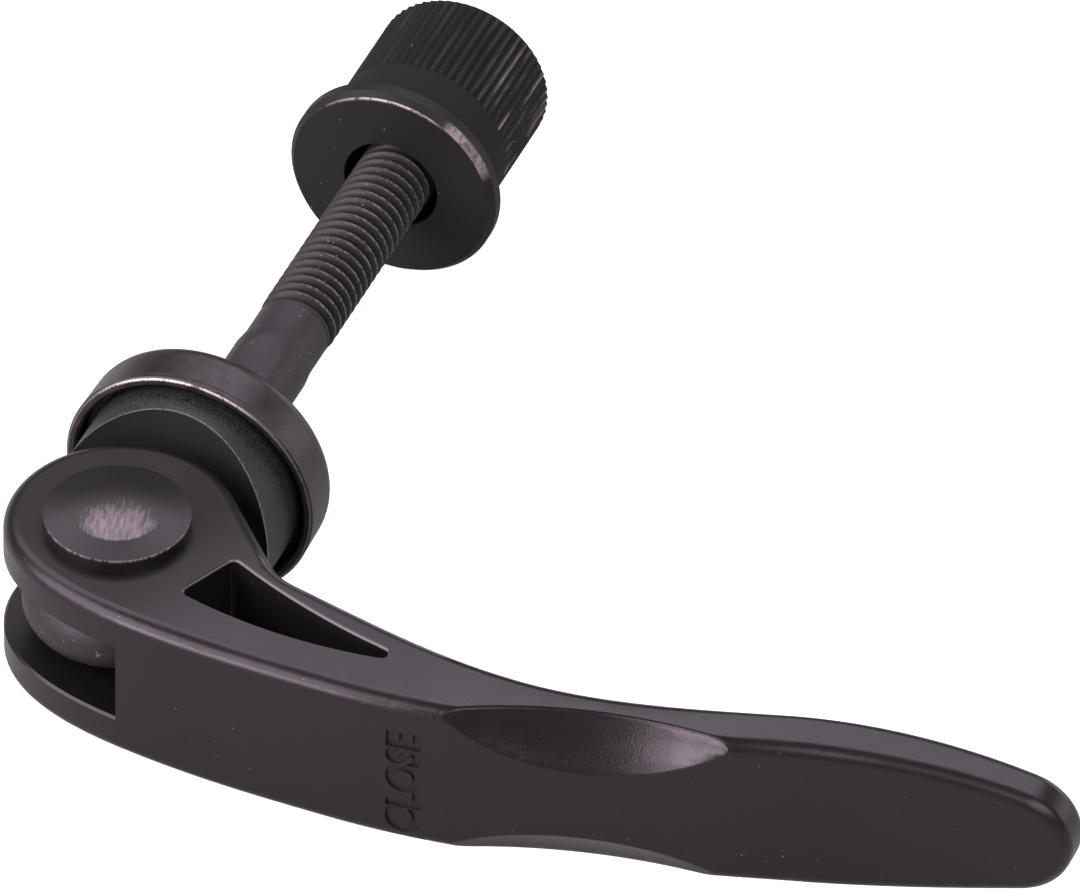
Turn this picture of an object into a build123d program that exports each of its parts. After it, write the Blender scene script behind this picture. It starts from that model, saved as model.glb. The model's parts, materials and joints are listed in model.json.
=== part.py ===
from build123d import *

import os
from math import cos, hypot, radians, sin, sqrt

# Cam lever of a quick-release seat clamp: an eye bolt runs through a cup washer and ends in a knurled
# flange nut, and a forked lever turns on a pin through the bolt's eye. The lever's two round ears are
# cams that press the plastic saddle in the cup, and so draw the nut and the cup together.
#
# Frame, in millimetres: the origin is the centre of the cup's flat clamping face. +Y runs along the bolt
# to the nut, +Z along the pivot pin to its domed head, and the closed lever runs out along +X.

# ---- Eye bolt -------------------------------------------------------------------------------------
THREAD_D = 6.0  # over the thread, which is made as a plain cylinder
THREAD_START = 15.1  # from the clamping face to the first turn
THREAD_PAST_NUT_FACE = 11.0  # how far the bolt reaches into the nut
THREAD_CHAMFER = 0.8
SHANK_D = 6.1  # smooth neck where it leaves the cup
WAIST_D = 5.76  # rolled waist just before the thread
WAIST_LENGTH = 3.0
WAIST_TAPER = 1.4
EYE_D = 14.2
EYE_T = 5.2  # the eye and the two flats forged with it
EYE_ROUND = 2.4  # full rounding of the eye's rim
FLAT_PAST_FACE = 7.0  # where the flats start to run out
FLAT_RUNOUT_R = 8.0

# ---- Pivot pin ------------------------------------------------------------------------------------
PIN_D = 6.0
PIN_GAP = 0.05  # running clearance in the bolt's eye, on the radius
PIN_HEAD_D = 11.0
PIN_HEAD_H = 0.95  # straight wall under the dome
PIN_CONE_D = 7.9  # inner edge of the sloping ring round the dome
PIN_CONE_H = 0.38
PIN_DOME_H = 0.55
PIN_TAIL_D = 8.0  # peened into a countersink in the lower ear
PIN_TAIL_H = 0.3

# ---- Cam lever ------------------------------------------------------------------------------------
LEVER_H = 13.4
SLOT_H = 6.7
SLOT_END_X = 4.0  # the slot's square end on the outer face
SLOT_EYE_GAP = 0.6  # round the eye, on the radius
RIM_CHAMFER = 0.18  # round the slot and the window
CAM_D = 17.6
CAM_ECCENTRICITY = 0.9  # the cam's centre lies this far past the pin, towards the saddle
CAM_FLANK_ANGLE = 43.0  # where the straight flank towards the arm leaves the cam
CAM_OUTER_ANGLE = 228.0  # where the outer face leaves it
FLANK_LENGTH = 9.8
FLANK_FILLET = 5.0
ARM_ROOT = (7.2, -9.99)  # on the outer face, where the cam has run into the arm
ARM_ROOT_SLOPE = -6.5
ARM_REACH = 10.58  # outer face, from the pin
ARM_BEND_X = 21.5  # where the outer face turns back towards the bolt
WAIST_X = 34.0  # thinnest place of the arm, on its inner face
WAIST_REACH = 3.88
PADDLE_X = 54.0  # the height starts to taper here
PADDLE_OUTER_Y = -4.05
PADDLE_INNER_Y = 0.6
PADDLE_SLOPE = 17.5
PADDLE_TAPER = 1.0  # degrees, of the height where the paddle starts
TIP_X = 75.45
TIP_OUTER_Y = 0.45
TIP_INNER_Y = 4.2
TIP_SLOPE = 5.0
TIP_R = 4.7  # seen from the front
TIP_BLEND = 76.0  # degrees of the tip's arc on each side
EDGE_R = 1.15  # round all the lever's long edges

SCOOP_X = 40.4  # deepest place of the hollow in each long outer edge
SCOOP_LENGTH = 26
SCOOP_DROP = 4.8  # on the outer face, from the top
SCOOP_BITE = 2.1  # on the top face
LOWER_SCOOP_DROP = 3.4  # the one below is shallower
LOWER_SCOOP_BITE = 1.7
SCOOP_COVE_R = 14.0
SCOOP_RIM_R = 0.4

WINDOW_ROOT = (7.3, -5.15)
WINDOW_PEAK = (9.5, -0.2)
WINDOW_UPPER_MIDDLE = (16.5, -3.15)
WINDOW_NOSE = (26.2, -5.6)
WINDOW_LOWER_MIDDLE = (15.5, -6.52)
WINDOW_FILLET = 0.5

# ---- Cup washer and saddle ------------------------------------------------------------------------
CUP_D = 20.0  # over the lip
CUP_BACK_D = 19.7
CUP_DEPTH = 4.7
CUP_FLOOR = 1.5
CUP_WALL = 0.8
CUP_BACK_R = 1.3
CUP_LIP_CHAMFER = 0.2
CUP_HOLE_GAP = 0.35  # round the bolt's neck, on the radius
SADDLE_RIM_GAP = 0.6  # between the saddle and the cup's wall, over the foot
SADDLE_FOOT_H = 1.2  # wider foot that centres the saddle in the cup
SADDLE_FOOT_GAP = 0.05
SADDLE_PROUD = 1.9  # of the cup's lip, at the bottom of the channel
SADDLE_CHANNEL_R = 13.0
CAM_PLAY = 1.6  # between cam and saddle while nothing is clamped

# ---- Knurled flange nut ---------------------------------------------------------------------------
CLAMP_GAP = 33.8  # from the cup's clamping face to the nut's
NUT_LENGTH = 14.9
FLANGE_FACE_D = 16.0
FLANGE_D = 16.85
FLANGE_T = 2.1
FLANGE_FRONT_BEVEL = 0.55
FLANGE_BACK_BEVEL = 0.6
COLLAR_D = 14.5  # foot of the smooth collar
COLLAR_LENGTH = 3.9
KNURL_D = 13.9
KNURL_DEPTH = 0.32
KNURL_TEETH = 60
NUT_END_CHAMFER = 0.5
COUNTERBORE_D = 7.66  # in the flange face, with a conical floor
COUNTERBORE_DEPTH = 3.0
NUT_THREAD_GAP = 0.05  # on the radius

SAME_PLACE = 0.001  # places closer than this are one

# ---- Places that follow from these ----------------------------------------------------------------
CAM_R = CAM_D / 2
CAM_CENTRE = Vector(0, CAM_ECCENTRICITY)
EYE_R = EYE_D / 2
TAIL_DEPTH = (PIN_TAIL_D - PIN_D) / 2
SADDLE_FLOOR_Y = -(CUP_DEPTH + SADDLE_PROUD)
PIN_Y = SADDLE_FLOOR_Y - CAM_PLAY - CAM_ECCENTRICITY - CAM_R
PIN_AXIS = Location((0, PIN_Y, 0))
HALF_H = LEVER_H / 2
ALONG_Y = Rotation(-90, 0, 0)  # turns +Z to +Y


def turned(profile):
    """Revolve (radius, y) points about the bolt's axis."""
    outline = make_face(Polyline(*[(radius, y) for radius, y in profile], close=True))
    return revolve(outline, Axis.Y)


def direction(angle):
    """Unit vector in the plane of the lever."""
    return Vector(cos(radians(angle)), sin(radians(angle)))


def eye_bolt():
    """Eye, flattened neck, waist and thread, all one forging."""
    rod_end = CLAMP_GAP + THREAD_PAST_NUT_FACE
    waist_start = THREAD_START - WAIST_LENGTH
    rod = turned([
        (0, PIN_Y),
        (SHANK_D / 2, PIN_Y),
        (SHANK_D / 2, waist_start - WAIST_TAPER),
        (WAIST_D / 2, waist_start),
        (WAIST_D / 2, THREAD_START - (THREAD_D - WAIST_D) / 2),
        (THREAD_D / 2, THREAD_START),
        (THREAD_D / 2, rod_end - THREAD_CHAMFER),
        (THREAD_D / 2 - THREAD_CHAMFER, rod_end),
        (0, rod_end),
    ])
    flat_start = PIN_Y - EYE_R
    flat_length = FLAT_PAST_FACE - flat_start
    for side in (1, -1):
        flat = Pos(0, flat_start + flat_length / 2, side * (EYE_T / 2 + SHANK_D / 2))
        rod -= flat * Box(SHANK_D, flat_length, SHANK_D)
        runout = Pos(0, FLAT_PAST_FACE, side * (EYE_T / 2 + FLAT_RUNOUT_R)) * Rotation(0, 90, 0)
        rod -= runout * Cylinder(FLAT_RUNOUT_R, SHANK_D)
    eye = Cylinder(EYE_R, EYE_T)
    eye = PIN_AXIS * fillet(eye.edges(), EYE_ROUND)
    return rod + eye - PIN_AXIS * Cylinder(PIN_D / 2 + PIN_GAP, LEVER_H)


def pivot_pin():
    """Domed head, shank through both ears and the eye, and a peened tail."""
    head_top = HALF_H + PIN_HEAD_H
    cone_top = head_top + PIN_CONE_H
    foot = -HALF_H - PIN_TAIL_H
    dome_edge = PIN_CONE_D / 2
    dome_r = (dome_edge**2 + PIN_DOME_H**2) / (2 * PIN_DOME_H)
    steps = Polyline(
        (0, foot),
        (PIN_TAIL_D / 2 - PIN_TAIL_H, foot),
        (PIN_TAIL_D / 2, -HALF_H),
        (PIN_D / 2, -HALF_H + TAIL_DEPTH),
        (PIN_D / 2, HALF_H),
        (PIN_HEAD_D / 2, HALF_H),
        (PIN_HEAD_D / 2, head_top),
        (dome_edge, cone_top),
        (0, cone_top),
        close=True,
    )
    pin = revolve(Plane.XZ * make_face(steps), Axis.Z)
    dome = Pos(0, 0, cone_top + PIN_DOME_H - dome_r) * Sphere(dome_r)
    dome &= Pos(0, 0, cone_top + PIN_DOME_H / 2) * Cylinder(dome_edge + PIN_CONE_H, PIN_DOME_H)
    return PIN_AXIS * (pin + dome)


def outer_face_line():
    """The lever's outer face seen along its pin, from the cam to the tip."""
    return Spline(
        CAM_CENTRE + direction(CAM_OUTER_ANGLE) * CAM_R,
        ARM_ROOT,
        (ARM_BEND_X, -ARM_REACH),
        (PADDLE_X, PADDLE_OUTER_Y),
        (TIP_X, TIP_OUTER_Y),
        tangents=[
            direction(CAM_OUTER_ANGLE + 90),
            direction(ARM_ROOT_SLOPE),
            direction(0),
            direction(PADDLE_SLOPE),
            direction(TIP_SLOPE),
        ],
    )


def lever_outline():
    """The lever seen along its pin, with the pin at the origin."""
    flank_start = CAM_CENTRE + direction(CAM_FLANK_ANGLE) * CAM_R
    flank_end = flank_start + direction(CAM_FLANK_ANGLE - 90) * FLANK_LENGTH
    outer = outer_face_line()
    cam = ThreePointArc(flank_start, CAM_CENTRE - Vector(CAM_R, 0), outer @ 0)
    tip = Line((TIP_X, TIP_OUTER_Y), (TIP_X, TIP_INNER_Y))
    inner = Spline(
        (TIP_X, TIP_INNER_Y),
        (PADDLE_X, PADDLE_INNER_Y),
        (WAIST_X, -WAIST_REACH),
        flank_end,
        tangents=[direction(180 + TIP_SLOPE), direction(180 + PADDLE_SLOPE), direction(180), direction(167)],
    )
    flank = Line(flank_end, flank_start)
    outline = make_face([cam, outer, tip, inner, flank])
    corner = outline.vertices().sort_by_distance(flank_end)[0]
    return fillet(corner, FLANK_FILLET)


def lever_front():
    """The lever seen from the front: level to the paddle, then tapering to a round tip."""
    blend = Vector(TIP_X - TIP_R + TIP_R * cos(radians(TIP_BLEND)), TIP_R * sin(radians(TIP_BLEND)))
    back_x = -CAM_D
    upper = Spline(
        (PADDLE_X, HALF_H),
        blend,
        tangents=[direction(-PADDLE_TAPER), direction(TIP_BLEND - 90)],
    )
    lower = Spline(
        (blend.X, -blend.Y),
        (PADDLE_X, -HALF_H),
        tangents=[direction(270 - TIP_BLEND), direction(180 - PADDLE_TAPER)],
    )
    tip = ThreePointArc(blend, (TIP_X, 0), (blend.X, -blend.Y))
    back = Polyline((PADDLE_X, -HALF_H), (back_x, -HALF_H), (back_x, HALF_H), (PADDLE_X, HALF_H))
    return make_face([upper, tip, lower, back])


def scoop_cutter(drop, bite):
    """A wheel with a round rim, laid against the upper outer edge where the scoop is deepest."""
    outer = outer_face_line()
    crossing = outer.intersect(Plane.YZ.offset(SCOOP_X))[0]
    edge_point = Vector(*crossing)
    along = outer % outer.param_at_point(edge_point)
    outward = Vector(along.Y, -along.X)
    up = Vector(0, 0, 1)
    chord = hypot(bite, drop)
    axis = up * (drop / chord) - outward * (bite / chord)
    lift = outward * (drop / chord) + up * (bite / chord)
    sagitta = SCOOP_COVE_R - sqrt(SCOOP_COVE_R**2 - (chord / 2) ** 2)
    depth = bite * drop / chord + sagitta
    wheel_r = ((SCOOP_LENGTH / 2) ** 2 + depth**2) / (2 * depth)
    centre = edge_point + up * HALF_H + lift * (wheel_r - depth)
    wheel = Torus(wheel_r - SCOOP_COVE_R, SCOOP_COVE_R)
    return Plane(origin=centre, x_dir=along, z_dir=axis) * wheel


def runs_across(edge):
    """True for the straight seams across the lever, where its faces already blend."""
    return edge.geom_type == GeomType.LINE and abs((edge @ 0).X - (edge @ 1).X) < SAME_PLACE


def cut_with_soft_rim(body, tool):
    """Cut the tool out of the body, and chamfer the level edges that it leaves."""
    cut = body - tool
    edges = new_edges(body, tool, combined=cut)
    rim = [edge for edge in edges if abs((edge @ 0).Z - (edge @ 1).Z) < SAME_PLACE]
    return chamfer(rim, RIM_CHAMFER)


def cut_with_round_rim(body, tool):
    """Cut the tool out of the body, and round every edge that it leaves."""
    cut = body - tool
    return fillet(new_edges(body, tool, combined=cut), SCOOP_RIM_R)


def lever():
    """Forked cam lever: two ears with a slot for the eye, a bowed arm and a flat paddle."""
    body = extrude(Pos(0, 0, -HALF_H) * lever_outline(), LEVER_H, dir=(0, 0, 1))
    body &= extrude(Plane.XZ.offset(CAM_D) * lever_front(), CAM_D * 2, dir=(0, 1, 0))
    body = fillet([edge for edge in body.edges() if not runs_across(edge)], EDGE_R)
    body = cut_with_round_rim(body, scoop_cutter(SCOOP_DROP, SCOOP_BITE))
    body = cut_with_round_rim(body, mirror(scoop_cutter(LOWER_SCOOP_DROP, LOWER_SCOOP_BITE), Plane.XY))

    # The window lightens the arm's root, all the way through
    window = make_face([
        Line(WINDOW_ROOT, WINDOW_PEAK),
        ThreePointArc(WINDOW_PEAK, WINDOW_UPPER_MIDDLE, WINDOW_NOSE),
        ThreePointArc(WINDOW_NOSE, WINDOW_LOWER_MIDDLE, WINDOW_ROOT),
    ])
    window = fillet(window.vertices(), WINDOW_FILLET)
    through = extrude(Pos(0, 0, -LEVER_H) * window, 2 * LEVER_H, dir=(0, 0, 1))
    body = cut_with_soft_rim(body, through)

    # The slot parts the two ears, and leaves room for the eye and for the bolt as the lever opens
    slot_width = SLOT_END_X + CAM_D
    slot = Pos(SLOT_END_X - slot_width / 2, 0, 0) * Box(slot_width, 2 * CAM_D, SLOT_H)
    slot += Cylinder(EYE_R + SLOT_EYE_GAP, SLOT_H)
    body = cut_with_soft_rim(body, slot)

    # The pin's hole, countersunk below for its peened tail
    body -= Cylinder(PIN_D / 2, LEVER_H)
    body -= Pos(0, 0, -HALF_H + TAIL_DEPTH / 2) * Cone(PIN_TAIL_D / 2, PIN_D / 2, TAIL_DEPTH)
    return body


def cup_washer():
    """Turned cup whose flat back bears on the clamped part."""
    radius = CUP_D / 2
    hole_r = SHANK_D / 2 + CUP_HOLE_GAP
    cup = turned([
        (hole_r, 0),
        (CUP_BACK_D / 2, 0),
        (radius, -CUP_DEPTH),
        (radius - CUP_WALL, -CUP_DEPTH),
        (radius - CUP_WALL, -CUP_FLOOR),
        (hole_r, -CUP_FLOOR),
    ])
    back_rim = cup.edges().filter_by(GeomType.CIRCLE).group_by(Axis.Y)[-1].sort_by(SortBy.RADIUS)[-1]
    cup = fillet(back_rim, CUP_BACK_R)
    lip = cup.edges().filter_by(GeomType.CIRCLE).group_by(Axis.Y)[0]
    return chamfer(lip, CUP_LIP_CHAMFER)


def saddle_insert():
    """Plastic saddle in the cup, hollowed for the two cams."""
    foot_r = CUP_D / 2 - CUP_WALL - SADDLE_FOOT_GAP
    rim_r = CUP_D / 2 - CUP_WALL - SADDLE_RIM_GAP
    foot_top = -CUP_FLOOR - SADDLE_FOOT_H
    hole_r = SHANK_D / 2 + CUP_HOLE_GAP
    saddle = turned([
        (hole_r, -CUP_FLOOR),
        (foot_r, -CUP_FLOOR),
        (foot_r, foot_top),
        (rim_r, foot_top),
        (rim_r, SADDLE_FLOOR_Y - SADDLE_CHANNEL_R),
        (hole_r, SADDLE_FLOOR_Y - SADDLE_CHANNEL_R),
    ])
    saddle -= Pos(0, SADDLE_FLOOR_Y - SADDLE_CHANNEL_R, 0) * Cylinder(SADDLE_CHANNEL_R, CUP_D)
    return saddle


def flange_nut():
    """Round nut: a thin flange, a smooth collar and a straight knurl."""
    flange_end = CLAMP_GAP + FLANGE_T
    knurl_start = flange_end + COLLAR_LENGTH
    nut_end = CLAMP_GAP + NUT_LENGTH
    knurl_r = KNURL_D / 2
    head = turned([
        (0, CLAMP_GAP),
        (FLANGE_FACE_D / 2, CLAMP_GAP),
        (FLANGE_D / 2, CLAMP_GAP + FLANGE_FRONT_BEVEL),
        (FLANGE_D / 2, flange_end - FLANGE_BACK_BEVEL),
        (FLANGE_D / 2 - FLANGE_BACK_BEVEL, flange_end),
        (COLLAR_D / 2, flange_end),
        (knurl_r, knurl_start),
        (0, knurl_start),
    ])
    star = []
    for tooth in range(KNURL_TEETH):
        star.append(direction(360 * tooth / KNURL_TEETH) * knurl_r)
        star.append(direction(360 * (tooth + 0.5) / KNURL_TEETH) * (knurl_r - KNURL_DEPTH))
    star_face = make_face(Polyline(*star, close=True))
    knurl = extrude(star_face, nut_end - knurl_start, dir=(0, 0, 1))
    knurl = Pos(0, knurl_start, 0) * ALONG_Y * knurl
    knurl &= turned([
        (0, knurl_start),
        (knurl_r + NUT_END_CHAMFER, knurl_start),
        (knurl_r + NUT_END_CHAMFER, nut_end - 2 * NUT_END_CHAMFER),
        (knurl_r - NUT_END_CHAMFER, nut_end),
        (0, nut_end),
    ])
    counterbore_floor = CLAMP_GAP + COUNTERBORE_DEPTH
    thread_r = THREAD_D / 2 + NUT_THREAD_GAP
    bore = turned([
        (0, CLAMP_GAP),
        (COUNTERBORE_D / 2, CLAMP_GAP),
        (COUNTERBORE_D / 2, counterbore_floor),
        (thread_r, counterbore_floor + COUNTERBORE_D / 2 - thread_r),
        (thread_r, nut_end - NUT_END_CHAMFER),
        (thread_r + NUT_END_CHAMFER, nut_end),
        (0, nut_end),
    ])
    return head + knurl - bore


def build_nodes():
    """Every separate piece, by its node's name."""
    return {
        "lever": PIN_AXIS * lever(),
        "pivot_pin": pivot_pin(),
        "eye_bolt": eye_bolt(),
        "cup_washer": cup_washer(),
        "saddle_insert": saddle_insert(),
        "flange_nut": flange_nut(),
    }


if __name__ == "__main__":
    os.makedirs("parts", exist_ok=True)
    for name, solid in build_nodes().items():
        print(name, round(solid.volume, 1), solid.bounding_box(), len(solid.solids()))
        export_step(solid, f"parts/{name}.step")
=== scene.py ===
# %% [markdown]
# # A quick-release cam lever
# The real object is six pieces of dark metal and plastic: a forked cam lever, the pin that it turns on, an
# eye bolt, a cup washer, a plastic saddle and a knurled flange nut. The construction comes packed as a
# fixed frame. This notebook dresses it: every surface gets a worn black finish, the bolt gets its real
# thread, and the lever gets its stamped word. The first cell loads the frame and keeps its box, because
# nothing here may outgrow it.

# %% Load the frame
import json
from math import atan2, cos, degrees, hypot, pi, radians, sin, tau

import bpy
from mathutils import Matrix, Vector


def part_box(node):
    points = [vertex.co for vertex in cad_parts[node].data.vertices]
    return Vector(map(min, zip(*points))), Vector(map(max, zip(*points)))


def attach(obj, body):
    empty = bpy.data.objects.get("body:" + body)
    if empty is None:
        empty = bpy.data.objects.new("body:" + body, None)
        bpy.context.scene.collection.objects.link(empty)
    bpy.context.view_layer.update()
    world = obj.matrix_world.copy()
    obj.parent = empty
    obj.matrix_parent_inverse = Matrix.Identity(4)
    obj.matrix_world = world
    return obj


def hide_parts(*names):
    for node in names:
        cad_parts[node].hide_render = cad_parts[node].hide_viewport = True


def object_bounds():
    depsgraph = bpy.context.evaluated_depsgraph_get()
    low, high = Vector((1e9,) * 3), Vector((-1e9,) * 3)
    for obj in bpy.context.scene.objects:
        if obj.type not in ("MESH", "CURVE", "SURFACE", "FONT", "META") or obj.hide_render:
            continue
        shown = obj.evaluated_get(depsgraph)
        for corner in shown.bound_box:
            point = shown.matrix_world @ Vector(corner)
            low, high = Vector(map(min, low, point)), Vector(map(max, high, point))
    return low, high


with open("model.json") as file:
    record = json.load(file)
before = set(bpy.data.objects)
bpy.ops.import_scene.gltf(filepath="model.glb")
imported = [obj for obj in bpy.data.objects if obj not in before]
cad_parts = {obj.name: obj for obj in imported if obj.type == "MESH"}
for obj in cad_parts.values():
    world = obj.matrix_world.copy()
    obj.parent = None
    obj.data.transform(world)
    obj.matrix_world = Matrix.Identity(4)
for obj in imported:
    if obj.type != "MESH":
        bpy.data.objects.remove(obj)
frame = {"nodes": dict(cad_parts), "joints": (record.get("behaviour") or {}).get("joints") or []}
cad_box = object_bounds()
MM = 0.001
print("nodes:", sorted(frame["nodes"]))
print("box in mm:", [[round(value / MM, 2) for value in corner] for corner in cad_box])

# %% [markdown]
# ## Camera
# A long lens from far away shows a small product with almost no perspective, so its straight edges stay
# straight. The camera looks down by 40 degrees, from a little to the right of the bolt's own line. Its
# place is given from the pivot pin, round which the whole object is arranged. Its turn could be given as
# three angles, but two directions, to its right and up its picture, are easier to check. The film is 36 mm
# wide, so the lens's length sets how much of the object it takes in.

# %% Place the camera
PIVOT = Vector(next(joint for joint in frame["joints"] if joint["name"] == "lever_pivot")["pos_m"])
CAMERA_FROM_PIVOT = Vector((0.45036, -1.02809, 0.96494))
CAMERA_RIGHT = Vector((0.92268, 0.38537, 0.01235))
CAMERA_UP = Vector((-0.25777, 0.59271, 0.76305))
LENS_MM = 666.67
FILM_MM = 36

camera_back = CAMERA_RIGHT.cross(CAMERA_UP).normalized()
bpy.ops.object.camera_add(location=PIVOT + CAMERA_FROM_PIVOT)
camera = bpy.context.object
camera.rotation_euler = Matrix((CAMERA_RIGHT, CAMERA_UP, camera_back)).transposed().to_euler()
camera.data.lens = LENS_MM
camera.data.sensor_width = FILM_MM
camera.data.clip_start = 0.05
camera.data.clip_end = 20
bpy.context.scene.camera = camera
looks_down = degrees(atan2(camera_back.z, hypot(camera_back.x, camera_back.y)))
print("camera looks down by", round(looks_down, 1), "degrees")

# %% [markdown]
# ## Floor
# A plain pale floor lies under the lowest point of the object. It is wide enough that no view sees its rim.
# A catalogue picture has a white floor and a shadow that is hardly there, yet a floor that bright would
# wash out the black faces that mirror it. So the floor glows for the camera alone: the Light Path node
# tells when a ray comes straight from the camera, and the object itself sees a grey floor.

# %% Lay the floor
FLOOR_R = 3.0
FLOOR_GREY = (0.4, 0.4, 0.4, 1)
FLOOR_ROUGHNESS = 0.9
FLOOR_SPECULAR = 0.1
FLOOR_GLOW = 0.8

bpy.ops.object.select_all(action="DESELECT")
bpy.ops.mesh.primitive_circle_add(vertices=96, radius=FLOOR_R, fill_type="NGON")
floor = bpy.context.object
floor.location.z = cad_box[0][2]
floor.name = "floor"
floor_paint = bpy.data.materials.new("floor_paint")
floor_paint.use_nodes = True
floor_shader = floor_paint.node_tree.nodes["Principled BSDF"]
floor_shader.inputs["Base Color"].default_value = FLOOR_GREY
floor_shader.inputs["Roughness"].default_value = FLOOR_ROUGHNESS
floor_shader.inputs["Specular IOR Level"].default_value = FLOOR_SPECULAR
seen_by = floor_paint.node_tree.nodes.new("ShaderNodeLightPath")
floor_paint.node_tree.links.new(seen_by.outputs["Is Camera Ray"], floor_shader.inputs["Emission Color"])
floor_shader.inputs["Emission Strength"].default_value = FLOOR_GLOW
floor.data.materials.append(floor_paint)
print("floor lies at", round(floor.location.z / MM, 2), "mm")

# %% [markdown]
# ## Light
# Satin black shows hardly anything but what it mirrors, so the lights draw the shapes, and each one is put
# where one kind of face looks. A wide panel behind gives the level faces their even grey. One in front on
# the left gives the bright band along the rounded edges, and the dark room between those two gives the thin
# dark line beside that band. A small low one in front lights the far end of each scoop. The one on the
# right catches the rounded tip, and the last, low at the back, lights the sides of the cup and the nut. A
# panel is as bright as its radiance says, however large it is, so that its size and its brightness can be
# set apart.

# %% Place the lights
def panel(name, direction, distance, width, height, radiance, tint):
    """A flat soft light that faces the pivot. Its energy is worked out from the brightness that it shows."""
    place = PIVOT + Vector(direction).normalized() * distance
    bpy.ops.object.light_add(type="AREA", location=place)
    light = bpy.context.object
    light.name = name
    light.rotation_euler = (place - PIVOT).to_track_quat("Z", "Y").to_euler()
    light.data.shape = "RECTANGLE"
    light.data.size = width
    light.data.size_y = height
    light.data.energy = radiance * pi * width * height
    light.data.color = tint
    light.visible_camera = False
    steepness = degrees(atan2(direction[2], hypot(*direction[:2])))
    print(name, "stands", round(steepness), "degrees above the object")


# Each row: name, direction from the pivot, distance, width and height in metres, radiance, colour.
panel("back_panel", (-0.218, 0.537, 0.815), 1.2, 1.7, 0.72, 3.3, (1, 0.97, 1))
panel("front_panel", (-0.61, -0.58, 0.54), 1.0, 1.05, 0.9, 6.2, (1, 0.92, 0.94))
panel("low_panel", (-0.394, -0.907, 0.15), 1.0, 0.32, 0.36, 15.0, (1, 0.92, 0.94))
panel("right_panel", (0.665, -0.365, 0.652), 1.0, 0.9, 0.5, 4.8, (1, 0.93, 0.95))
panel("side_panel", (0.525, 0.84, 0.139), 1.1, 1.2, 0.4, 2.1, (1, 0.95, 0.96))

# %% [markdown]
# ## Room
# The room itself is two things at once. For the floor and for soft shading it is an even pale glow, so
# shadows stay faint. Glossy rays see a dim room instead, and so the panels stand out in the finish. The
# Light Path node tells the two kinds of ray apart. The Standard view shows every brightness as it is, where
# Blender's usual view would turn the white floor grey.

# %% Fill the room
ROOM_GLOW = 0.35
ROOM_SEEN_IN_GLOSS = 0.14
ROOM_TINT = (1, 0.99, 1, 1)

world = bpy.context.scene.world or bpy.data.worlds.new("world")
bpy.context.scene.world = world
world.use_nodes = True
sky = world.node_tree.nodes["Background"]
sky.inputs["Color"].default_value = ROOM_TINT
ray = world.node_tree.nodes.new("ShaderNodeLightPath")
glow = world.node_tree.nodes.new("ShaderNodeMapRange")
glow.inputs["To Min"].default_value = ROOM_GLOW
glow.inputs["To Max"].default_value = ROOM_SEEN_IN_GLOSS
world.node_tree.links.new(ray.outputs["Is Glossy Ray"], glow.inputs["Value"])
world.node_tree.links.new(glow.outputs["Result"], sky.inputs["Strength"])
bpy.context.scene.view_settings.view_transform = "Standard"
print("room glows at", ROOM_GLOW, "and shows in gloss at", ROOM_SEEN_IN_GLOSS)

# %% [markdown]
# ## Shader maths
# A finish is a rule for every point of a surface: how dark, how rough, how worn. Such rules could be wired
# up node by node, but they read best as plain sums, so a small class wraps a node's socket and turns +, -
# and * into Math nodes. Its soft steps, from 0 to 1 between two limits, are what every worn place is cut
# out with.

# %% Wrap a socket
class Value:
    """A number that changes over the surface, kept as a node's output."""

    def __init__(self, finish, socket):
        self.finish = finish
        self.socket = socket

    def math(self, operation, *others):
        sockets = {number: other for number, other in enumerate((self, *others))}
        return self.finish.node("ShaderNodeMath", {"operation": operation}, sockets)

    def __add__(self, other):
        return self.math("ADD", other)

    def __radd__(self, other):
        return self.math("ADD", other)

    def __sub__(self, other):
        return self.math("SUBTRACT", other)

    def __rsub__(self, other):
        return (self * -1) + other

    def __mul__(self, other):
        return self.math("MULTIPLY", other)

    def __rmul__(self, other):
        return self.math("MULTIPLY", other)

    def power(self, exponent):
        return self.math("POWER", exponent)

    def larger(self, other):
        return self.math("MAXIMUM", other)

    def absolute(self):
        return self.math("ABSOLUTE")

    def to_axis(self, other):
        """Distance from an axis, by Pythagoras, for two places measured from it."""
        return (self * self + other * other).power(0.5)

    def round_axis(self, other):
        """Angle round an axis in radians, from -pi to pi, for two places measured from it."""
        return self.math("ARCTAN2", other)

    def rise(self, low, high):
        """0 below low and 1 above high, with a smooth step between; turned round when high is the lower."""
        settings = {"interpolation_type": "SMOOTHSTEP", "clamp": True}
        return self.finish.node("ShaderNodeMapRange", settings, {0: self, 1: low, 2: high}, "Result")

    def between(self, start, end, fade_in, fade_out):
        """1 between two limits and 0 outside them, with a soft step of its own width inside each."""
        return self.rise(start, start + fade_in) * self.rise(end, end - fade_out)

    def near(self, centre, width):
        """1 at the centre, and 0 from a width away on either side."""
        return (self - centre).absolute().rise(width, 0)


# %% [markdown]
# ## A finish to build on
# Every finish here starts alike, so a second class does that part once. It sets how strongly the surface
# mirrors and in what tint, which are the same all over a piece. It reads the surface's place from Object
# coordinates, which stay with a piece when it moves, and scales it up, so that all lengths in the rules are
# in millimetres. Noise, specks, a mix of two colours and small relief come back in most finishes, so each
# has a short call. One general call makes any other node.

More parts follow.
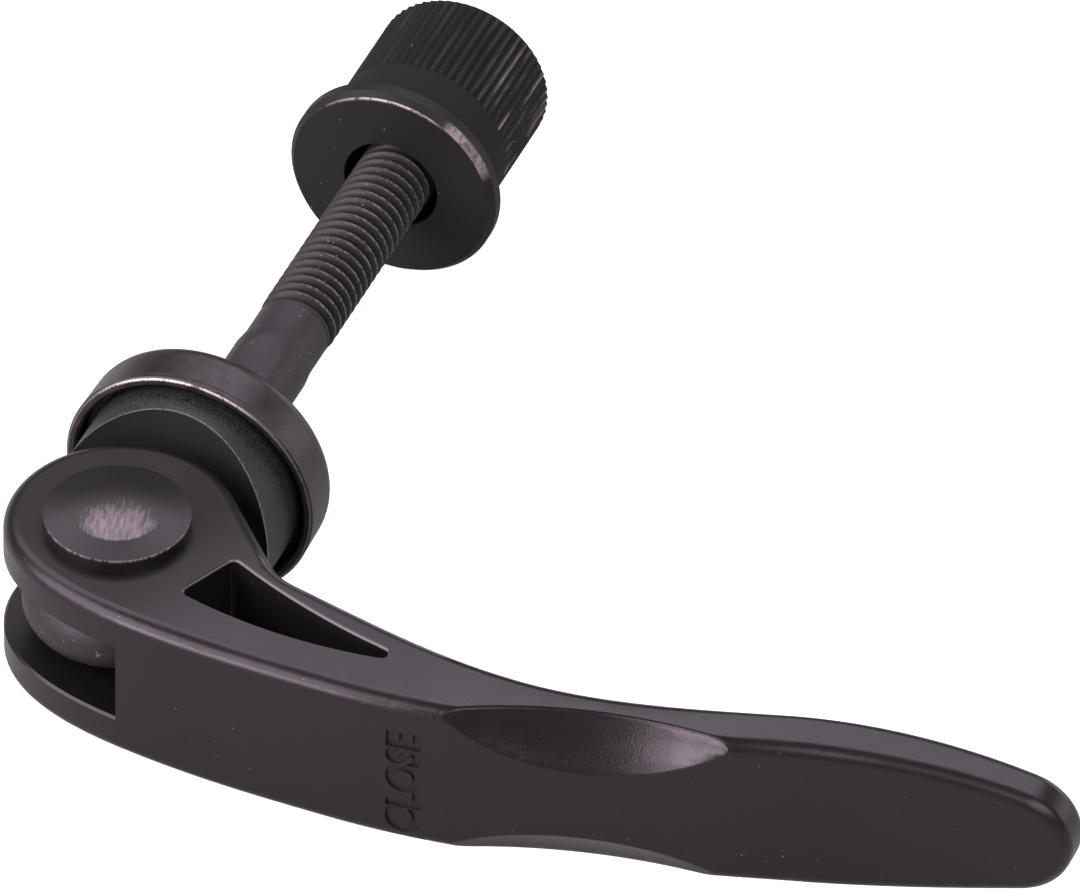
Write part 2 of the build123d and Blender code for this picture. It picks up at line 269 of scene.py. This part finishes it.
# %% Build a finish
class Finish:
    """A material under construction, with the surface's own place in millimetres."""

    def __init__(self, name, specular, tint=(1, 1, 1)):
        self.material = bpy.data.materials.new(name)
        self.material.use_nodes = True
        self.tree = self.material.node_tree
        self.shader = self.tree.nodes["Principled BSDF"]
        self.shader.inputs["Specular IOR Level"].default_value = specular
        self.shader.inputs["Specular Tint"].default_value = (*tint, 1)
        place = self.tree.nodes.new("ShaderNodeTexCoord")
        scaled = self.tree.nodes.new("ShaderNodeVectorMath")
        scaled.operation = "SCALE"
        scaled.inputs["Scale"].default_value = 1 / MM
        self.tree.links.new(place.outputs["Object"], scaled.inputs[0])
        self.place = Value(self, scaled.outputs[0])
        parts = self.tree.nodes.new("ShaderNodeSeparateXYZ")
        self.tree.links.new(scaled.outputs[0], parts.inputs[0])
        self.x, self.y, self.z = (Value(self, output) for output in parts.outputs)

    def node(self, kind, settings, sockets, output=0):
        """Any node: its settings come first, then the values or links of its sockets."""
        made = self.tree.nodes.new(kind)
        for name, setting in settings.items():
            setattr(made, name, setting)
        for name, value in sockets.items():
            if isinstance(value, Value):
                self.tree.links.new(value.socket, made.inputs[name])
            else:
                made.inputs[name].default_value = value
        return Value(self, made.outputs[output])

    def noise(self, per_mm, detail, stretch=(1, 1, 1), roughness=0.5):
        """Soft noise from 0 to 1, with about this many blobs to the millimetre."""
        spread = self.node("ShaderNodeVectorMath", {"operation": "MULTIPLY"}, {0: self.place, 1: stretch})
        sockets = {"Vector": spread, "Scale": per_mm, "Detail": detail, "Roughness": roughness}
        return self.node("ShaderNodeTexNoise", {}, sockets, "Fac")

    def specks(self, per_mm, start, full):
        """Small scattered specks: only the tops of a noise show."""
        return self.noise(per_mm, 1).rise(start, full)

    def mix(self, factor, colour, other):
        """A colour between two: a colour is three numbers or an earlier mix."""
        made = self.tree.nodes.new("ShaderNodeMix")
        made.data_type = "RGBA"
        ends = [socket for socket in made.inputs if socket.type == "RGBA"]
        self.tree.links.new(factor.socket, made.inputs["Factor"])
        for end, value in zip(ends, (colour, other)):
            if isinstance(value, Value):
                self.tree.links.new(value.socket, end)
            else:
                end.default_value = (*value, 1)
        return Value(self, next(socket for socket in made.outputs if socket.type == "RGBA"))

    def set(self, name, value):
        """Link a value to one of the shader's own sockets."""
        self.tree.links.new(value.socket, self.shader.inputs[name])

    def bump(self, height_mm):
        """Small relief, as a height in millimetres."""
        sockets = {"Height": height_mm * MM, "Distance": 1.0, "Strength": 1.0}
        self.set("Normal", self.node("ShaderNodeBump", {}, sockets, "Normal"))


def dress(piece, finish):
    """Give a piece its finish."""
    piece.data.materials.clear()
    piece.data.materials.append(finish.material)
    print(piece.name, "is finished in", finish.material.name)


# %% [markdown]
# ## Copies to work on
# A node of the frame is never changed. Where a piece needs more detail, such as a thread, a copy is made.
# Its loose triangles are merged into one closed skin first, because cuts and fills need neighbours that
# share their corners. The same call closes the open ends of a tube.

# %% Copy a node
MERGE_DISTANCE = 0.002 * MM


def select_only(piece):
    bpy.ops.object.select_all(action="DESELECT")
    piece.select_set(True)
    bpy.context.view_layer.objects.active = piece


def close_skin(piece, open_ends=False):
    """Merge a piece's loose corners, fill its open ends where it has any, and turn its faces outwards."""
    select_only(piece)
    bpy.ops.object.mode_set(mode="EDIT")
    bpy.ops.mesh.select_all(action="SELECT")
    bpy.ops.mesh.remove_doubles(threshold=MERGE_DISTANCE)
    if open_ends:
        bpy.ops.mesh.select_all(action="DESELECT")
        bpy.ops.mesh.select_mode(type="EDGE")
        bpy.ops.mesh.select_non_manifold()
        bpy.ops.mesh.edge_face_add()
        bpy.ops.mesh.select_all(action="SELECT")
    bpy.ops.mesh.normals_make_consistent(inside=False)
    bpy.ops.object.mode_set(mode="OBJECT")


def working_copy(node, name):
    """A node's shape as one closed skin, free of the frame."""
    copy = frame["nodes"][node].copy()
    copy.data = copy.data.copy()
    copy.name = name
    copy.parent = None
    for key in list(copy.keys()):
        del copy[key]
    bpy.context.scene.collection.objects.link(copy)
    select_only(copy)
    bpy.ops.mesh.customdata_custom_splitnormals_clear()
    close_skin(copy)
    print(name, "starts with", len(copy.data.vertices), "vertices")
    return copy


# %% [markdown]
# ## The bolt's thread
# The frame has a plain cylinder where the real bolt has a rolled M6 thread: one groove that winds round it,
# one millimetre further along with every turn. A modifier could sweep a groove's outline round the bolt,
# but its ends would then need mending. So the cylinder is cut off in the waist, and a fine grid is rolled
# into a tube in its place. Every point of the tube goes in or out by how far it has come round and along,
# which is all that a thread is. The thread fades in at the waist and ends in a chamfer, and both ends of
# the tube are closed. Lengths are in millimetres, and those along the bolt count from the clamping face.

# %% Shape the thread
PITCH = 1.0
CREST_R = 3.0
GROOVE_DEPTH = 0.52
FLANK_SLOPE = 1.3
GROOVE_FLOOR = 0.17
WAIST_END = 14.85
TUBE_START = 14.4
TUBE_START_R = 2.8
FADE_IN = 1.1
END_CHAMFER = 0.8
rod_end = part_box("eye_bolt")[1].y / MM


def clamped(number):
    return min(max(number, 0), 1)


def thread_radius(along, turn):
    """Radius of the rolled thread, this far along the bolt and this part of a turn round it."""
    phase = (along / PITCH - turn) % 1
    flank = abs(2 * phase - 1)
    height = clamped(FLANK_SLOPE * flank - GROOVE_FLOOR)
    rounded = height * height * (3 - 2 * height)
    grown = clamped((along - WAIST_END) / FADE_IN)
    full = CREST_R - GROOVE_DEPTH * (1 - rounded)
    radius = TUBE_START_R + (full - TUBE_START_R) * grown
    return min(radius, CREST_R - END_CHAMFER + max(rod_end - along, 0))


print("thread runs from", WAIST_END, "to", round(rod_end, 2), "mm along the bolt")

# %% Roll the thread
SIDES = 72
ROWS_PER_TURN = 14

tube_length = rod_end - TUBE_START
rows = round(tube_length / PITCH * ROWS_PER_TURN)
bpy.ops.object.select_all(action="DESELECT")
bpy.ops.mesh.primitive_grid_add(x_subdivisions=SIDES, y_subdivisions=rows, size=2)
thread = bpy.context.object
for vertex in thread.data.vertices:
    turn = (vertex.co.x + 1) / 2
    along = TUBE_START + tube_length * (vertex.co.y + 1) / 2
    reach = thread_radius(along, turn) * MM
    vertex.co = (reach * sin(tau * turn), along * MM, reach * cos(tau * turn))
close_skin(thread, open_ends=True)
print("thread has", len(thread.data.polygons), "faces over", round(tube_length, 1), "mm")

# %% Join it to the bolt
SMOOTH_BELOW = radians(35)

threaded_bolt = working_copy("eye_bolt", "threaded_eye_bolt")
bpy.ops.object.mode_set(mode="EDIT")
bpy.ops.mesh.select_all(action="SELECT")
bpy.ops.mesh.bisect(plane_co=(0, WAIST_END * MM, 0), plane_no=(0, 1, 0), clear_outer=True, use_fill=True)
bpy.ops.object.mode_set(mode="OBJECT")
thread.select_set(True)
bpy.context.view_layer.objects.active = threaded_bolt
bpy.ops.object.join()
bpy.ops.object.shade_smooth_by_angle(angle=SMOOTH_BELOW)
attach(threaded_bolt, "bolt")
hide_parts("eye_bolt")
print("bolt now has", len(threaded_bolt.data.polygons), "faces")

# %% [markdown]
# ## The stamped word
# The lever says which way round it is shut: CLOSE is stamped into the outer face of the arm, read from
# below upwards. It could be drawn as relief in the finish, but then the mesh itself would carry no word. So
# text becomes a mesh, is turned onto the face, which a ray from outside finds, and is cut out of a copy of
# the lever. A cut leaves long thin triangles whose shading would ripple over the flat faces, so each
# corner's normal is weighted by the size of the faces round it: the large flat ones win, and the sharp
# edges stay sharp.

# %% Make the letters
WORD = "CLOSE"
WORD_X = 27.3
WORD_MIDDLE_Z = -0.9
WORD_LENGTH = 9.6
LETTER_HEIGHT = 2.75
STAMP_DEPTH = 0.22
LETTER_BOLDNESS = 0.045
WELL_OUTSIDE = 10

lever_skin = frame["nodes"]["lever"]
lever_low, lever_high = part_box("lever")
outside = Vector((WORD_X * MM, lever_low.y - WELL_OUTSIDE * MM, WORD_MIDDLE_Z * MM))
inwards = Vector((0, 1, 0))
face_point, face_normal = lever_skin.ray_cast(outside, inwards)[1:3]
print("the word sits at", [round(value / MM, 2) for value in face_point])

bpy.ops.object.text_add()
word = bpy.context.object
word.data.body = WORD
word.data.align_x = "CENTER"
word.data.align_y = "CENTER"
word.data.offset = LETTER_BOLDNESS
word.data.extrude = 1.0
bpy.ops.object.convert(target="MESH")
word_size = word.dimensions.copy()
word_middle = sum((Vector(corner) for corner in word.bound_box), Vector()) / 8
print("letters are", round(word_size.x / word_size.y, 2), "times as long as high before they are sized")

# %% Lay them on the face
reading = Vector((0, 0, 1))
letter_up = face_normal.cross(reading)
onto_face = Matrix((reading, letter_up, face_normal)).transposed().to_4x4()
# The letters stand 1 out on either side of their plane, so the third factor is how deep they reach.
scale = (WORD_LENGTH * MM / word_size.x, LETTER_HEIGHT * MM / word_size.y, STAMP_DEPTH * MM)
word.data.transform(Matrix.Translation(-word_middle))
word.data.transform(Matrix.Diagonal((*scale, 1)))
word.data.transform(Matrix.Translation(face_point) @ onto_face)
close_skin(word)
print("letters reach", STAMP_DEPTH, "mm into the face")

# %% Stamp them into the lever
stamped_lever = working_copy("lever", "stamped_lever")
stamp = stamped_lever.modifiers.new("stamp", "BOOLEAN")
stamp.operation = "DIFFERENCE"
stamp.solver = "EXACT"
stamp.object = word
bpy.ops.object.modifier_apply(modifier="stamp")
bpy.data.objects.remove(word)
bpy.ops.object.shade_smooth_by_angle(angle=SMOOTH_BELOW)

even_shading = stamped_lever.modifiers.new("even_shading", "WEIGHTED_NORMAL")
even_shading.keep_sharp = True
bpy.ops.object.modifier_apply(modifier="even_shading")
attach(stamped_lever, "lever_arm")
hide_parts("lever")
print("stamped lever has", len(stamped_lever.data.polygons), "faces")

# %% [markdown]
# ## Satin black on the lever
# The lever is steel with a thin black conversion coat: nearly black in itself, with a soft sheen that leans
# to purple. The coat is never quite even. A fine grain, drawn by a little relief and a little roughness,
# breaks up the reflections, and a few specks of dust and bare metal show. The scoops keep the rougher marks
# of the wheel that cut them, the stamp has left the letters' floors dull, and a grey line along the rim of
# the window is a painted highlight. Each of those places could be painted on a map, but a map is lost with
# every change to the mesh. So it is picked by where it lies on the lever: a product of steps, one for each
# side of it.

# %% Colour of the lever
BLACK = (0.006, 0.0055, 0.006)
PURPLE = (1.0, 0.87, 1.0)
PALE_SPECK = (0.2, 0.19, 0.2)
# Grey of the painted highlight along the window's rim.
RIM_HIGHLIGHT_GREY = (0.13, 0.115, 0.125)
WINDOW_X = (6, 28.5)
WINDOW_Y = (-25.5, -16.5)
RIM_BELOW_TOP = 0.1

lever_top = lever_high.z / MM
satin = Finish("satin_black", specular=0.36, tint=PURPLE)
grain = satin.noise(per_mm=7, detail=3)
clouds = satin.noise(per_mm=0.35, detail=2)
speckled_parts = satin.specks(per_mm=0.8, start=0.45, full=0.65)
lever_specks = satin.specks(per_mm=4.5, start=0.77, full=0.8) * speckled_parts
along_window = satin.x.between(*WINDOW_X, fade_in=1, fade_out=1)
by_window = along_window * satin.y.between(*WINDOW_Y, fade_in=0.5, fade_out=1)
# The grey line along the window's rim is a painted highlight: it stands for the light that a rounder rim
# would catch.
soft_rim = satin.z.near(lever_top - RIM_BELOW_TOP, 0.08)
window_rim_highlight = soft_rim * by_window * (0.5 + 0.5 * clouds)
lever_coat = satin.mix(lever_specks, BLACK, PALE_SPECK)
satin.set("Base Color", satin.mix(window_rim_highlight, lever_coat, RIM_HIGHLIGHT_GREY))
print("the window's rim is worn from", WINDOW_X[0], "to", WINDOW_X[1], "mm along the lever")

# %% Roughness of the lever
TOOLED_X = (29, 48)
TOOLED_Z = (2.2, 6.4)
SHINY_X = (26, 54)

along_scoop = satin.x.between(*TOOLED_X, fade_in=2, fade_out=8)
in_scoop = along_scoop * satin.z.between(*TOOLED_Z, fade_in=1.2, fade_out=0.5)
shiny_stretch = satin.x.between(*SHINY_X, fade_in=3, fade_out=4)
scoop_sheen = shiny_stretch * satin.z.rise(1, 2.5) * satin.y.rise(-20, -21)
# The letters' floors are found by their depth below the plane of the face.
outwards = satin.x * face_normal.x + satin.y * face_normal.y + satin.z * face_normal.z
sunk = face_point.dot(face_normal) / MM - outwards
by_word = satin.x.near(WORD_X, LETTER_HEIGHT) * satin.z.near(WORD_MIDDLE_Z, WORD_LENGTH)
in_letters = sunk.rise(0.08, 0.14) * by_word.rise(0.1, 0.2)
satin.set("Roughness", 0.26 + 0.08 * grain + 0.06 * clouds + 0.2 * in_letters - 0.05 * scoop_sheen)
print("scoops are tooled from", TOOLED_X[0], "to", TOOLED_X[1], "mm along the lever")

# %% [markdown]
# ## Relief and lean of the lever
# A forged face is never quite level. The top of the head falls away a little to the back, and the root of
# the paddle a little to the front: far too little for an outline to show, but the sheen tells it at once.
# Bending the mesh would leave the frame's shape, so the lean is drawn as relief, a height that grows evenly
# across the face. Along the lever it has to fade out, and a fading height makes a slope of its own. So each
# height is counted from the line where that slope would show most, because the height is zero there.

# %% Relief of the lever
HEAD_LEAN = 0.09
HEAD_FADES_X = (14, 2)
PADDLE_LEAN = 0.09
PADDLE_ROOT_X = 51
PADDLE_ROOT_WIDTH = 11

front_y = lever_low.y / MM
head_middle_y = (PIVOT.y / MM + front_y) / 2
head_lean = HEAD_LEAN * satin.x.rise(*HEAD_FADES_X) * (head_middle_y - satin.y)
paddle_lean = PADDLE_LEAN * satin.x.near(PADDLE_ROOT_X, PADDLE_ROOT_WIDTH) * (satin.y - front_y)
tooled = satin.noise(per_mm=6, detail=3, stretch=(1, 1, 0.4))
marks = 0.0014 * grain + 0.022 * tooled * in_scoop + 0.05 * tooled * in_letters
satin.bump(marks + head_lean + paddle_lean)
dress(stamped_lever, satin)

# %% [markdown]
# ## Phosphate on the bolt
# The bolt has a rougher black coat that holds oil and dust. It rubs off on the thread's crests, which come
# out as thin pale lines; on the right-hand side these lines are also a painted highlight. The grooves are
# painted darker, for dirt and as painted shade. A few bright specks sit on the smooth neck and waist. The
# wear could be painted on, turn by turn, but a rule follows a thread more surely: crest and groove are told
# apart by one thing, the distance from the bolt's axis.

# %% Phosphate on the bolt
OILY = (0.008, 0.0076, 0.0085)
DUSTY = (0.028, 0.026, 0.029)
# The grooves' colour is dirt and painted shade; the crests' colour is rubbed metal and a painted highlight.
GROOVE_DIRT_AND_SHADE = (0.003, 0.003, 0.0032)
RUBBED_AND_LIT = (0.11, 0.105, 0.11)

phosphate = Finish("rough_phosphate", specular=0.28, tint=PURPLE)
rod_radius = phosphate.x.to_axis(phosphate.z)
dust = phosphate.noise(per_mm=5, detail=4)
on_thread = phosphate.y.rise(WAIST_END + 0.05, WAIST_END + 0.55)
on_crest = rod_radius.rise(CREST_R - 0.07, CREST_R - 0.01) * on_thread
# The grooves are painted darker: dirt and painted shade.
in_groove = rod_radius.rise(CREST_R - 0.15, CREST_R - GROOVE_DEPTH) * on_thread
# The crests are painted lighter, mostly on the right-hand (+X) side: rubbed metal and a painted highlight.
crest_wear_and_highlight = on_crest * dust.rise(0.4, 0.6) * phosphate.x.rise(-1.5, 2)
bolt_wear_and_highlight = crest_wear_and_highlight.larger(phosphate.specks(per_mm=3.2, start=0.73, full=0.76))
bolt_coat_and_groove_shade = phosphate.mix(in_groove, phosphate.mix(dust, OILY, DUSTY), GROOVE_DIRT_AND_SHADE)
phosphate.set("Base Color", phosphate.mix(bolt_wear_and_highlight, bolt_coat_and_groove_shade, RUBBED_AND_LIT))
phosphate.set("Roughness", 0.42 + 0.16 * dust + 0.3 * in_groove)
phosphate.bump(0.016 * dust * (0.2 + 0.8 * on_thread))
dress(threaded_bolt, phosphate)

# %% [markdown]
# ## Worn pin head
# Thumbs and pockets rub the dome. The coat is gone from a patch on its front half, brushed in short
# streaks, and from the sharp rim. Streaks could be drawn one by one, but noise that is drawn out along the
# way that the thumb goes gives them all at once, no two alike. So the place is first turned to that way and
# squeezed across it.

# %% Where the pin is worn
PIN_X = PIVOT.x / MM
PIN_Y = PIVOT.y / MM
DOME_EDGE_R = 5.47
DOME_EDGE_Z = (7.45, 7.6)
BARE_PATCH_R = 3.85
RUBBED_AT = radians(23.5)
FINE_ACROSS = 3.4
FINE_ALONG = 0.8
SLANT = 0.5

pin_steel = Finish("worn_pin_steel", specular=0.33, tint=PURPLE)
pin_across = pin_steel.x - PIN_X
pin_along = pin_steel.y - PIN_Y
pin_radius = pin_across.to_axis(pin_along)
side = pin_across * cos(RUBBED_AT) + pin_along * sin(RUBBED_AT)
forward = pin_across * sin(RUBBED_AT) - pin_along * cos(RUBBED_AT)
squeezed = {"X": side * FINE_ACROSS + forward * SLANT, "Y": forward * FINE_ALONG}
brushed = pin_steel.node("ShaderNodeCombineXYZ", {}, squeezed)
streaks = pin_steel.node("ShaderNodeTexNoise", {}, {"Vector": brushed, "Scale": 1, "Detail": 4}, "Fac")
in_circle = pin_radius.rise(BARE_PATCH_R, BARE_PATCH_R - 0.35)
patch = forward.rise(-2.6, 2.2) * in_circle * side.absolute().rise(4.6, 1.2)
bare_patch = (patch * 1.35 + streaks * 1.8 - 1.45).rise(0, 1.35)
rim = pin_radius.near(DOME_EDGE_R, 0.1) * pin_steel.z.rise(*DOME_EDGE_Z) * forward.rise(0.5, 3.5)
pin_worn = bare_patch.larger(rim * streaks.rise(0.38, 0.62))
print("pin is bare within", BARE_PATCH_R, "mm of its middle")

# %% Worn steel on the pin
WORN_PIN = (0.2, 0.162, 0.182)

pin_steel.set("Base Color", pin_steel.mix(pin_worn, BLACK, WORN_PIN))
pin_steel.set("Metallic", pin_worn * 0.85)
pin_steel.set("Roughness", 0.34 + 0.2 * pin_worn)
pin_steel.bump(0.004 * streaks * patch)
dress(frame["nodes"]["pivot_pin"], pin_steel)

# %% [markdown]
# ## Worn black on the cup washer
# The cup is turned steel in the same satin black, gone a little brown in patches. Its lip stands out
# furthest, so it is rubbed bright along the stretch that hands and pockets reach, and a fine line from the
# lathe runs round it. Such wear could be painted on a map, but on a round piece a rule is shorter: a worn
# place is picked by its radius, by how far along the axis it is, and by its angle round it.

# %% Where the cup is worn
LATHE_LINE = 0.55
RUBBED_ANGLES = (0.95, 2.6)

cup_low, cup_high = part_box("cup_washer")
cup_lip = cup_low.y / MM
cup_r = cup_high.x / MM
washer_black = Finish("worn_cup_black", specular=0.42, tint=PURPLE)
cup_radius = washer_black.x.to_axis(washer_black.z)
cup_grain = washer_black.noise(per_mm=5, detail=3)
cup_patches = washer_black.noise(per_mm=0.9, detail=3)
round_lip = washer_black.z.round_axis(washer_black.x)
lip_edge = washer_black.y.near(cup_lip, 0.14) * cup_radius.near(cup_r - 0.1, 0.24)
rubbed_lip = round_lip.between(*RUBBED_ANGLES, fade_in=0.3, fade_out=0.6) * cup_patches.rise(0.36, 0.48)
lip_wear = lip_edge.rise(0, 0.5) * (0.14 + 0.86 * rubbed_lip) * cup_grain.rise(0.3, 0.5)
turned_line = washer_black.y.near(cup_lip + LATHE_LINE, 0.07) * cup_radius.rise(cup_r - 0.4, cup_r - 0.3)
print("cup's lip lies at", round(cup_lip, 2), "mm and is", round(cup_r, 2), "mm in radius")

# %% Worn black on the cup washer
# Pale bare metal; on the nut the same colour also carries a painted highlight.
BARE_METAL_AND_HIGHLIGHT = (0.42, 0.37, 0.39)
BROWNED = (0.016, 0.0125, 0.014)

cup_coat = washer_black.mix(cup_patches.rise(0.4, 0.65), BLACK, BROWNED)
washer_black.set("Base Color", washer_black.mix(lip_wear, cup_coat, BARE_METAL_AND_HIGHLIGHT))
washer_black.set("Metallic", lip_wear * 0.4)
washer_black.set("Roughness", 0.3 + 0.14 * cup_grain)
washer_black.bump(0.0015 * cup_grain - 0.02 * turned_line)
dress(frame["nodes"]["cup_washer"], washer_black)

# %% [markdown]
# ## Speckled plastic on the saddle
# The saddle is moulded from dark plastic, so that the cams don't run on steel. Its skin has a fine speckle
# and shallow pits. The channel that the cams run in is duller and painted a deeper black, as painted shade,
# and a pale line along its edge is painted as wear and as a highlight. Faces could be given a second
# material for that, but the line would then be as coarse as the faces. The channel is part of a cylinder,
# so the distance from that cylinder's axis finds it.

# %% Find the saddle's channel
SADDLE_SIDE_R = 8.6
CHANNEL_R = 13.0
CHANNEL_Y = -19.6

saddle_plastic = Finish("speckled_plastic", specular=0.36)
speckle = saddle_plastic.noise(per_mm=6, detail=4)
saddle_r = saddle_plastic.x.to_axis(saddle_plastic.z)
from_channel = saddle_plastic.x.to_axis(saddle_plastic.y - CHANNEL_Y) - CHANNEL_R
# A pale line along the channel's edge, painted as wear and as a highlight.
channel_edge_wear_and_highlight = from_channel.near(0.1, 0.12) * saddle_r.near(SADDLE_SIDE_R, 0.1) * speckle.rise(0.3, 0.5)
# The channel is painted darker: painted shade.
in_channel = from_channel.rise(0.06, 0.02)
print("channel is", CHANNEL_R, "mm in radius")

# %% Speckled plastic on the saddle
PLASTIC = (0.006, 0.0062, 0.0065)
SPECKLED = (0.03, 0.03, 0.032)
# Colours of the channel's painted shade and of its edge's painted wear and highlight.
CHANNEL_PAINTED_SHADE = (0.004, 0.004, 0.0042)
PALE_EDGE_WEAR_AND_HIGHLIGHT = (0.11, 0.108, 0.11)

pits = saddle_plastic.noise(per_mm=1.6, detail=2, roughness=0.6)
speckled = saddle_plastic.mix(speckle.rise(0.35, 0.75), PLASTIC, SPECKLED)
saddle_coat_and_shade = saddle_plastic.mix(in_channel, speckled, CHANNEL_PAINTED_SHADE)
saddle_plastic.set("Base Color", saddle_plastic.mix(channel_edge_wear_and_highlight, saddle_coat_and_shade, PALE_EDGE_WEAR_AND_HIGHLIGHT))
saddle_plastic.set("Roughness", 0.46 + 0.15 * speckle + 0.3 * in_channel)
saddle_plastic.bump(0.01 * speckle + 0.012 * pits)
dress(frame["nodes"]["saddle_insert"], saddle_plastic)

# %% [markdown]
# ## Dull black on the nut
# The nut's coat is duller than the lever's, and it is scraped along the flange's rim and on the ridges of
# the knurl, where tools and fingers touch it. On the right-hand side the ridges are painted lighter still,
# as a painted highlight. Blender can find edges by itself, by how sharply a mesh turns, but that depends on
# how fine the mesh is. Here the radius tells a ridge from a groove, and the distance from the flange's face
# tells rim, collar and knurl apart.

# %% Where the nut is scraped
FLANGE_FACE_R = 8.0
KNURL_START = 6.0
RIDGE_R = 6.92
BEVEL_ANGLES = (0.3, 1.05)
EDGE_ANGLES = (0.95, 2.5)

nut_black = Finish("scraped_nut_black", specular=0.17)
nut_radius = nut_black.x.to_axis(nut_black.z)
round_nut = nut_black.z.round_axis(nut_black.x)
from_face = nut_black.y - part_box("flange_nut")[0].y / MM
nut_grain = nut_black.noise(per_mm=3.5, detail=4)
scrapes = nut_black.noise(per_mm=0.8, detail=4, stretch=(1, 0.35, 1), roughness=0.6)
patchy = scrapes * 0.4 + nut_grain * 0.6
bevel = nut_radius.rise(FLANGE_FACE_R - 0.05, FLANGE_FACE_R + 0.05) * from_face.rise(0.8, 0.5)
scraped_part = round_nut.between(*BEVEL_ANGLES, fade_in=0.2, fade_out=0.1)
bevel_bare = bevel * scraped_part * (0.15 + 0.3 * patchy.rise(0.4, 0.6))
front_edge = nut_radius.near(FLANGE_FACE_R, 0.2) * from_face.rise(0.12, 0.02)
rubbed_part = round_nut.between(*EDGE_ANGLES, fade_in=0.4, fade_out=0.9)
edge_bare = front_edge * rubbed_part * patchy.rise(0.36, 0.5)
rim_bare = bevel_bare.larger(edge_bare)
on_knurl = from_face.rise(KNURL_START, KNURL_START + 0.2)
ridge = nut_radius.rise(RIDGE_R - 0.2, RIDGE_R) * on_knurl
ridge_streaks = nut_black.noise(per_mm=1.5, detail=3, stretch=(1, 0.12, 1), roughness=0.6).rise(0.45, 0.72)
# The knurl's ridges are painted lighter on the right-hand (+X) side: wear and a painted highlight.
lit_side_and_held = round_nut.absolute().rise(1.1, 0.5)
ridge_wear_and_highlight = ridge * ridge_streaks * (0.04 + 0.36 * lit_side_and_held)
print("knurl is rubbed from", KNURL_START, "mm behind the flange's face")

# %% Dull black on the nut
NUT_BLACK = (0.009, 0.0085, 0.0095)
FLANGE_DEPTH = 2.1

past_flange = from_face.rise(FLANGE_DEPTH + 0.1, FLANGE_DEPTH + 0.7)
nut_specks = nut_black.specks(per_mm=3, start=0.8, full=0.82) * 0.6
nut_wear_and_highlight = rim_bare.larger(ridge_wear_and_highlight).larger(nut_specks)
# This mix carries scraped metal and, on the right-hand knurl ridges, a painted highlight.
nut_black.set("Base Color", nut_black.mix(nut_wear_and_highlight, NUT_BLACK, BARE_METAL_AND_HIGHLIGHT))
nut_black.set("Metallic", rim_bare * 0.5)
nut_black.set("Roughness", 0.44 + 0.36 * past_flange - 0.16 * on_knurl + 0.1 * nut_grain)
nut_black.bump(0.003 * nut_grain)
dress(frame["nodes"]["flange_nut"], nut_black)
